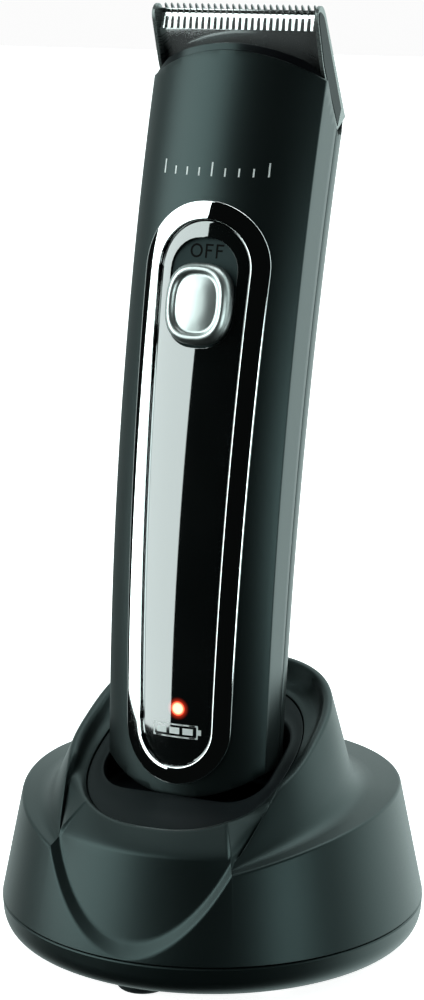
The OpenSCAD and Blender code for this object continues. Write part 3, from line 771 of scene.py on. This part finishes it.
def liner():
    """Dished plate with the pocket that the handle's end stands in."""
    count = 144
    floor_z, under_z, wall = -0.7, -2.4, 1.5
    inner, outer = pocket_outline(0, count), pocket_outline(wall, count)

    def on_plane(p, drop):
        """The local point lifted along the pocket's axis to the liner's plane."""
        low, high = -20.0, 60.0
        for _ in range(30):
            m = (low + high) / 2
            q = at_bottom((p[0], p[1], m))
            low, high = (low, m) if q[2] > LINER_H + RIM_SLOPE * q[1] - drop else (m, high)
        return at_bottom((p[0], p[1], low))

    rings = []
    for i in range(count):
        p, q = inner[i], outer[i]
        edge = Vector(on_plane(p, 0.1))
        phi = math.atan2(edge[0], -edge[1])
        r = oval_r(phi, LINER) - 0.08
        rim = Vector((r * math.sin(phi), -r * math.cos(phi), 0))
        rim[2] = LINER_H + RIM_SLOPE * rim[1] - 0.1
        floor_top = Vector(at_bottom((p[0], p[1], floor_z)))
        keys = [
            (floor_top, 1.0),
            (edge, 1.0),
            (edge + (rim - edge) * 0.5 - Vector((0, 0, 0.25)), 1.5),
            (rim, 0.25),
            (rim - Vector((0, 0, 2.9)), 0),
            (Vector(on_plane(q, 3.0)), 0),
            (Vector(at_bottom((q[0], q[1], under_z))), 1.0),
        ]
        start = Vector(at_bottom((0, POCKET_Y, floor_z)))
        end = Vector(at_bottom((0, POCKET_Y, under_z)))
        path = round_path([(start, 0)] + keys + [(end, 0)], 5)
        rings.append(path)
    points = [tuple(p) for ring in rings for p in ring]
    return mesh_object("cup_insert", points, open_turn_faces(count, len(rings[0])), 50, merge=0.01)


# ---------------------------------------------------------------- handle pieces

def notch_tool(name, gap):
    return block(name, (-40, 40), (gap - 7.4, 40), (-gap, 60), at_head)


def heel_tool(name):
    ring = [(PIVOT[0] + 4.1 * math.cos(2 * math.pi * i / 64), PIVOT[1] + 4.1 * math.sin(2 * math.pi * i / 64))
            for i in range(64)]
    return prism(name, ring, -40, 40, at_head)


def hollow():
    inside = handle_solid("hollow", WALL, edge=0.2)
    return cut(inside, block("slope", (-40, 40), (1 - WALL, 60), (-30, 60), at_head), below_bow("low", WALL))


def front_shell():
    shell = cut(handle_solid("front_cover", 0), hollow(), below_bow("bow", 0), seam_side("rear", True, SEAM_GAP),
                notch_tool("notch", 0.3), heel_tool("heel"), above_arch("arch", ARCH_R),
                window_tool("window", RING_SEAT))
    return soften(shell, 0.22, 2, 45)


def back_shell():
    slope = block("slope", (-40, 40), (1, 60), (-30, 60), at_head)
    shell = cut(handle_solid("back_cover", 0), hollow(), below_bow("bow", 0), seam_side("fore", False, SEAM_GAP),
                notch_tool("notch", 0.3), heel_tool("heel"), slope)
    pads = []
    for x in (-6, 6):
        ring = [(x + 1.85 * math.cos(2 * math.pi * i / 40), 19 + 1.85 * math.sin(2 * math.pi * i / 40))
                for i in range(40)]
        pads.append(prism("pad_cut", ring, -3, 6, at_bottom, "Z"))
    for z in (54, 134):
        ring = [(2.5 * math.cos(2 * math.pi * i / 40), 2.5 * math.sin(2 * math.pi * i / 40)) for i in range(40)]
        lean = arc_lean(BACK_ARC, z)
        y = arc_y(BACK_ARC, z)
        place = lambda p, y=y, z=z, lean=lean: (p[0], y + p[1] * math.cos(lean) + p[2] * math.sin(lean),
                                               z - p[1] * math.sin(lean) + p[2] * math.cos(lean))
        pads.append(prism("screw_cut", ring, -1.1, 4, place, "Y"))
    cut(shell, *pads)
    return soften(shell, 0.22, 2, 45)


def window_ring():
    """Chrome band round the window: rounded edges and a faint crown, its foot sunk into the shell."""
    foot = -1.75
    keys = [((RING_SEAT, foot), 0), ((RING_SEAT, -0.02), 0.05), ((0.0, -0.02), 0.05),
            ((0.0, RING_PROUD - 0.1), 0.08), ((0.14, RING_PROUD), 0.12), ((RING_BAND / 2, RING_PROUD + 0.03), 1.0),
            ((RING_BAND - 0.16, RING_PROUD), 0.12), ((RING_BAND, RING_PROUD - 0.15), 0.1), ((RING_BAND, foot), 0)]
    profile = round_path(keys, 4)
    columns = [window_outline(inset)[0] for inset, _ in profile]
    count = len(columns[0])
    points = []
    for i in range(count):
        for k, (inset, height) in enumerate(profile):
            x, z = columns[k][i]
            points.append(front_point(x, z, -height))
    return mesh_object("window_ring", points, tube_faces(count, len(profile), around=True), 60)


GLASS_DEPTH = 0.45


def window_glass():
    """The glossy window inside the ring, slightly sunk; window_with_slot cuts the switch's opening."""
    outline, middles = window_outline(RING_BAND + 0.03)
    steps = 12
    count = len(outline)

    def layer(depth, scale_end):
        rows = []
        for k in range(steps, 0, -1):
            share = k / steps if k < steps else scale_end
            rows.append([front_point(mix(mx, x, share), mix(mz, z, share), depth)
                         for (x, z), (mx, mz) in zip(outline, middles)])
        return rows

    top = layer(GLASS_DEPTH, 0.975)
    rim = [[front_point(x, z, GLASS_DEPTH + 0.17) for x, z in outline]]
    low = [[front_point(x, z, WALL) for x, z in outline]]
    rings = [row for row in reversed(top)] + rim + low
    spine_top = [front_point(mx, mz, GLASS_DEPTH) for mx, mz in middles]
    spine_low = [front_point(mx, mz, WALL) for mx, mz in middles]
    points = spine_top + [p for row in rings for p in row] + spine_low
    return mesh_object("window_glass", points, tube_faces(len(rings) + 2, count), 40, merge=0.01)


BED_Z = 144.6
BED_W, BED_H, BED_R = 15.4, 23.4, 6.8
BED_DEPTH = 2.0
SLOT_W, SLOT_LEN = 4.6, 12.4
SWITCH_Z = 142.2
SWITCH_HALF_W, SWITCH_HALF_LEN = 7.4, 8.7


def at_bed(p):
    """From the switch bed's frame: on the front surface, -Y outwards, +Z along the switch's travel."""
    lean = arc_lean(FRONT_ARC, BED_Z)
    c, s = math.cos(lean), math.sin(lean)
    return (p[0], arc_y(FRONT_ARC, BED_Z) + p[1] * c + p[2] * s, BED_Z - p[1] * s + p[2] * c)


def window_with_slot():
    glass = window_glass()
    slot = prism("slot_cut", rounded_rect(BED_W, BED_H, BED_R), -6, 6, at_bed, "Y")
    return soften(cut(glass, slot), 0.2, 2, 50)


def switch_floor():
    """The recess floor under the switch, with the carriage's slot."""
    floor = prism("switch_floor", rounded_rect(BED_W - 0.1, BED_H - 0.1, BED_R - 0.05), BED_DEPTH, BED_DEPTH + 1.4,
                  at_bed, "Y")
    return cut(floor, prism("slot", rounded_rect(SLOT_W, SLOT_LEN, 1), 0, 6, at_bed, "Y"))


def off_mark():
    """The word OFF on the recess floor above the switch."""
    middle, half_h, stroke = 9.0, 1.5, 0.42
    low, high = BED_DEPTH - 0.04, BED_DEPTH + 0.1
    o_x, o_half_w, o_half_h = -2.35, 0.98, 1.08
    f_places, f_top, f_arm, lap = (-0.3, 2.15), 1.75, 1.5, 0.01

    def stroke_bar(x0, x1, z0, z1):
        return prism("stroke", [(x0, z0), (x1, z0), (x1, z1), (x0, z1)], low, high, at_bed, "Y")

    turns = 40
    points = []
    for i in range(turns):
        angle = 2 * math.pi * i / turns
        for grow, y in ((0, low), (stroke, low), (stroke, high), (0, high)):
            points.append(at_bed((o_x + (o_half_w + grow) * math.cos(angle), y,
                                  middle + (o_half_h + grow) * math.sin(angle))))
    marks = [mesh_object("o", points, tube_faces(turns, 4, around=True))]
    for x in f_places:
        marks += [stroke_bar(x, x + stroke, middle - half_h, middle + half_h),
                  stroke_bar(x + stroke - lap, x + f_top, middle + half_h - stroke, middle + half_h),
                  stroke_bar(x + stroke - lap, x + f_arm, middle - 0.1, middle - 0.1 + stroke)]
    return join("off_mark", marks)


def oval_ring(a, b, n, count=96):
    """Superellipse outline as (x, z)."""
    ring = []
    for i in range(count):
        t = 2 * math.pi * i / count
        c, s = math.cos(t), math.sin(t)
        ring.append((a * sign(c) * abs(c) ** (2 / n), b * sign(s) * abs(s) ** (2 / n)))
    return ring


def switch_cap():
    """Satin button: rounded shoulders, a bright rim and a dished middle."""
    middle = 6.9
    dz = SWITCH_Z - BED_Z
    keys = [((0.0, -1.85), 0), ((0.0, 0.6), 1.1), ((1.0, 1.72), 0.8), ((1.8, 1.72), 0.5), ((2.5, 0.95), 0.5),
            ((3.4, 1.2), 0.8), ((5.0, 1.55), 1.4), ((middle, 1.62), 0)]
    profile = round_path(keys, 5)
    points = []
    for inset, height in profile:
        squareness = mix(2.65, 2.6, clamp01(inset / middle))
        points += [at_bed((x, -height, z + dz))
                   for x, z in oval_ring(SWITCH_HALF_W - inset, SWITCH_HALF_LEN - inset, squareness)]
    return mesh_object("switch_cap", points, tube_faces(len(profile), 96, True, True), 60)


# ---------------------------------------------------------------- blade head

HEAD_HALF_W = 19.2
STEEL = 0.7
GAPS = 24
PITCH = 1.44


def bevelled(obj, width, segments=2):
    return soften(obj, width, segments, 25)


def comb_cheeks():
    """The comb's two steel sides, in the darker steel: a painted reflection of the dark surroundings."""
    cheeks = []
    cheek_keys = [((0, 0), 0), ((0, 26.1), 2.0), ((-0.9, 28.0), 1.3), ((-2.6, 28.4), 1.2), ((-4.4, 27.4), 1.6),
                  ((-6.5, 15.5), 2.5), ((-5.4, 0), 0)]
    cheek = [tuple(p) for p in round_path(cheek_keys, 5)]
    for s in (-1, 1):
        x = sorted((s * HEAD_HALF_W, s * (HEAD_HALF_W - 0.8)))
        cheeks.append(bevelled(prism("cheek", cheek, x[0], x[1], at_head), 0.12))
    return join("comb_cheeks", cheeks)


def comb():
    """Folded steel comb: back plate, front plate and squared strip; its pointed teeth are made by comb_teeth."""
    pieces = []
    half = HEAD_HALF_W - 0.75
    back = [(0, 0), (0, 26.0), (-0.75, 26.6), (-1.0, 26.4), (-STEEL, 25.8), (-STEEL, 0)]
    back_plate = prism("back_plate", back, -half, half, at_head)
    ears = [block("ear_cut", (x - 2.2, x + 2.2), (-4, 1), (-1, 3.2), at_head) for x in (-11, 11)]
    pieces.append(bevelled(cut(back_plate, *ears), 0.1))
    front = [(-4.4, 12.6), (-3.6, 23.3), (-3.6 + STEEL * 0.9, 23.1), (-4.4 + STEEL, 12.6)]
    pieces.append(bevelled(prism("front_plate", front, -half, half, at_head), 0.08))
    strip = [(-3.45, 23.2), (-2.15, 25.35), (-1.5, 25.9), (-1.0, 25.4), (-2.8, 22.9)]
    pieces.append(prism("strip", strip, -half, half, at_head))
    teeth = GAPS + 1
    for i in range(teeth):
        x = (i - (teeth - 1) / 2) * PITCH
        w = PITCH / 2 - 0.07
        pad = [(-3.75, 23.35), (-2.3, 25.45), (-1.95, 25.3), (-3.4, 23.15)]
        pieces.append(bevelled(prism("square", pad, x - w, x + w, at_head), 0.07))
    return join("comb_steel", pieces)


def comb_teeth():
    """The comb's row of pointed teeth, in the darker steel: painted shade for the dark gaps between them."""
    count = GAPS + 1
    teeth = [tooth("tooth", (i - (count - 1) / 2) * PITCH, (0.46, 0.12), (-0.72, -0.86), (-0.05, -0.5), (25.1, 27.7))
             for i in range(count)]
    return join("comb_teeth", teeth)


def painted_reflection_panels():
    """Black plates on the outer faces of the comb's sides, leaving a steel edge at the back and the front. They are
    a painted reflection: dark sheets standing for the dark surroundings that the steel sides mirror.
    """
    keys = [((-1.5, 3.0), 1.0), ((-1.1, 25.6), 1.4), ((-2.8, 27.7), 1.0), ((-4.0, 26.9), 1.2),
            ((-5.9, 15.5), 2.2), ((-4.9, 0.8), 0.8)]
    outline = [tuple(p) for p in round_path(keys, 4)]
    panels = []
    for s in (-1, 1):
        x = sorted((s * (HEAD_HALF_W + 0.12), s * (HEAD_HALF_W - 0.3)))
        panels.append(bevelled(prism("panel", outline, x[0], x[1], at_head), 0.1))
    return join("painted_reflection_panels", panels)


def tooth(name, x, widths, fronts, backs, rise):
    """A tapering tooth with a blunt tip, in the blade head's frame; each pair goes from base to tip."""
    rows = []
    steps = 8
    for k in range(steps + 1):
        t = k / steps
        lean = t ** 1.6
        w = mix(*widths, t) * (1.0 if k < steps else 0.6)
        yf = mix(*fronts, lean)
        yb = mix(*backs, lean)
        z = mix(*rise, t)
        rows += [(x - w, yf, z), (x + w, yf, z), (x + w, yb, z), (x - w, yb, z)]
    return mesh_object(name, [at_head(p) for p in rows], tube_faces(steps + 1, 4, True, True))


def cutter():
    """Moving blade: a plate with pointed teeth that show between the comb's."""
    teeth = GAPS - 1
    reach = (GAPS - 2) * PITCH / 2
    plate = [(-1, 7), (-1, 24.9), (-1.75, 24.9), (-2, 24.2), (-2, 7)]
    pieces = [bevelled(prism("plate", plate, -reach, reach, at_head), 0.08)]
    for i in range(teeth):
        x = (i - (teeth - 1) / 2) * PITCH
        pieces.append(tooth("cutter_tooth", x, (0.36, 0.12), (-1.8, -1.4), (-0.95, -1.0), (24.6, 26.6)))
    return join("cutter_steel", pieces)


# ---------------------------------------------------------------- printed marks

def surface_strip(name, outline, depth=-0.02, thick=0.05):
    """A thin printed mark lying on the front surface. The outline is a convex (x, z) polygon."""
    count = len(outline)
    rings = []
    centre = (sum(p[0] for p in outline) / count, sum(p[1] for p in outline) / count)
    for s in (0.0, 0.5, 1.0):
        rings.append([front_point(mix(centre[0], x, s), mix(centre[1], z, s), depth) for x, z in outline])
    rings.append([front_point(x, z, depth + thick) for x, z in outline])
    rings.append([front_point(*centre, depth + thick)] * count)
    points = [p for ring in rings for p in ring]
    return mesh_object(name, points, tube_faces(len(rings), count), merge=0.003)


def bar(x0, x1, z0, z1, depth=-0.02):
    steps = max(2, int(abs(x1 - x0) / 0.6))
    top = [(mix(x0, x1, i / steps), z1) for i in range(steps + 1)]
    low = [(mix(x1, x0, i / steps), z0) for i in range(steps + 1)]
    return surface_strip("bar", top + low, depth)


def length_marks():
    """A plain row of gauge ticks above the window."""
    foot_z, pitch, half_w, count = 168.4, 3.0, 0.16, 9
    marks = []
    for i in range(count):
        x = (i - (count - 1) / 2) * pitch
        tall = 2.9 if i % 4 == 0 else 1.7
        marks.append(bar(x - half_w, x + half_w, foot_z, foot_z + tall))
    return join("gauge_marks", marks)


def battery_mark():
    """A plain battery outline with three bars, printed on the window under the charge light."""
    z, depth, line = 51.9, 0.43, 0.3
    w, h = 5.2, 1.5
    marks = [bar(-w, w, z + h - line, z + h, depth), bar(-w, w, z - h, z - h + line, depth),
             bar(-w, -w + line, z - h, z + h, depth), bar(w - line, w, z - h, z + h, depth),
             bar(w, w + 0.7, z - 0.6, z + 0.6, depth)]
    for i in range(3):
        x = -w + 0.9 + 3.05 * i
        marks.append(bar(x, x + 2.3, z - h + 0.8, z + h - 0.8, depth))
    return join("battery_mark", marks)


# ---------------------------------------------------------------- build

paint_frame()
stands_for(cut(stand_shell(), socket_cut()), "stand_shell", sharp_deg=42)
stands_for(base_plate(), "stand_base_plate", sharp_deg=40)
stands_for(feet(), "rubber_feet", sharp_deg=40)
stands_for(liner(), "cup_liner", sharp_deg=50)
stands_for(front_shell(), "front_shell", sharp_deg=38)
stands_for(back_shell(), "back_shell", sharp_deg=38)
stands_for(window_ring(), "chrome_ring", sharp_deg=60)
stands_for(window_with_slot(), "window_lens", sharp_deg=38)
stands_for(switch_floor(), "switch_bed", sharp_deg=38)
stands_for(switch_cap(), "power_switch", sharp_deg=60)
extra(off_mark(), "handle", "print_dark")
stands_for(comb(), "comb_blade", sharp_deg=30)
# Darker steel on the comb's sides: painted reflection of the dark surroundings.
extra(comb_cheeks(), "blade_head", "painted_shade_reflection_steel")
# Darker steel on the teeth: painted shade between them.
extra(comb_teeth(), "blade_head", "painted_shade_reflection_steel")
# Black plates on the steel sides: painted reflection of the dark surroundings.
extra(painted_reflection_panels(), "blade_head", "liner_plastic")
stands_for(cutter(), "cutter_blade", sharp_deg=30)
extra(length_marks(), "handle", "print_white")
extra(battery_mark(), "handle", "print_white")


# ---------------------------------------------------------------- studio

def floor():
    half = 3000
    points = [(-half, -half, 0), (half, -half, 0), (half, half, 0), (-half, half, 0)]
    obj = mesh_object("floor", points, [(0, 1, 2, 3)])
    MATERIALS["floor"] = surface("floor", (0.86, 0.87, 0.87), (0.88, 0.89, 0.89), (0.6, 0.7), None, 3.0)
    shader = MATERIALS["floor"].node_tree.nodes["Principled BSDF"]
    shader.inputs["Emission Color"].default_value = (1, 1, 1, 1)
    shader.inputs["Emission Strength"].default_value = 0.9
    paint(obj, "floor")
    obj.visible_glossy = False
    obj.visible_diffuse = False


def camera():
    azimuth, elevation, distance = math.radians(24.168), math.radians(13.005), 572.4
    target = Vector((-0.094, -0.042, 98.34))
    away = Vector((math.sin(azimuth) * math.cos(elevation), -math.cos(azimuth) * math.cos(elevation),
                   math.sin(elevation)))
    data = bpy.data.cameras.new("camera")
    data.lens = 95.15
    data.sensor_width = 36
    data.clip_start = 0.01
    obj = bpy.data.objects.new("camera", data)
    obj.location = (target + away * distance) * MM
    obj.rotation_euler = (-away).to_track_quat("-Z", "Y").to_euler()
    bpy.context.collection.objects.link(obj)
    bpy.context.scene.camera = obj


def softbox(name, azimuth, elevation, distance, width, height, watts, colour=(1, 1, 1)):
    data = bpy.data.lights.new(name, "AREA")
    data.shape = "RECTANGLE"
    data.size, data.size_y = width, height
    data.energy = watts
    data.color = colour
    obj = bpy.data.objects.new(name, data)
    a, e = math.radians(azimuth), math.radians(elevation)
    target = Vector((0, 0, 0.1))
    away = Vector((math.sin(a) * math.cos(e), -math.cos(a) * math.cos(e), math.sin(e)))
    obj.location = target + away * distance
    obj.rotation_euler = (-away).to_track_quat("-Z", "Y").to_euler()
    bpy.context.collection.objects.link(obj)
    return obj


def world():
    """Pale surroundings with a dark flag in front, so that the gloss reads as in a studio."""
    w = bpy.data.worlds.new("studio")
    bpy.context.scene.world = w
    w.use_nodes = True
    nodes, links = w.node_tree.nodes, w.node_tree.links
    nodes.clear()
    out = nodes.new("ShaderNodeOutputWorld")
    coords = nodes.new("ShaderNodeTexCoord")
    split = nodes.new("ShaderNodeSeparateXYZ")
    links.new(coords.outputs["Generated"], split.inputs["Vector"])
    front = nodes.new("ShaderNodeMath")
    front.operation = "MULTIPLY"
    front.inputs[1].default_value = -1.0
    links.new(split.outputs["Y"], front.inputs[0])
    turn = nodes.new("ShaderNodeMath")
    turn.operation = "ARCTAN2"
    links.new(split.outputs["X"], turn.inputs[0])
    links.new(front.outputs["Value"], turn.inputs[1])

    def band(low, high):
        node = nodes.new("ShaderNodeMapRange")
        node.interpolation_type = "SMOOTHSTEP"
        node.inputs["From Min"].default_value = math.radians(low)
        node.inputs["From Max"].default_value = math.radians(high)
        links.new(turn.outputs["Value"], node.inputs["Value"])
        return node.outputs["Result"]

    def combine(op, a, b):
        node = nodes.new("ShaderNodeMath")
        node.operation = op
        for i, v in enumerate((a, b)):
            if isinstance(v, float):
                node.inputs[i].default_value = v
            else:
                links.new(v, node.inputs[i])
        return node.outputs["Value"]

    right = combine("MULTIPLY", band(84, 128), 2.1)
    left = combine("MULTIPLY", band(-84, -130), 1.2)
    level = combine("ADD", combine("ADD", right, left), 0.003)
    dark = nodes.new("ShaderNodeBackground")
    dark.inputs["Color"].default_value = (0.84, 1.0, 0.98, 1)
    links.new(level, dark.inputs["Strength"])
    pale = nodes.new("ShaderNodeBackground")
    pale.inputs["Color"].default_value = (0.97, 0.97, 0.97, 1)
    path = nodes.new("ShaderNodeLightPath")
    blend = nodes.new("ShaderNodeMixShader")
    links.new(path.outputs["Is Camera Ray"], blend.inputs["Fac"])
    links.new(dark.outputs["Background"], blend.inputs[1])
    links.new(pale.outputs["Background"], blend.inputs[2])
    links.new(blend.outputs["Shader"], out.inputs["Surface"])


floor()
camera()
softbox("left_softbox", -51, 16, 0.75, 0.72, 0.95, 8.4, (0.88, 1.0, 0.985))
softbox("right_softbox", 64, -2, 0.8, 0.32, 0.34, 1.7, (0.85, 1.0, 0.99))
softbox("top_softbox", 160, 72, 0.9, 0.7, 0.5, 2)
world()

bpy.context.scene.view_settings.view_transform = "Standard"
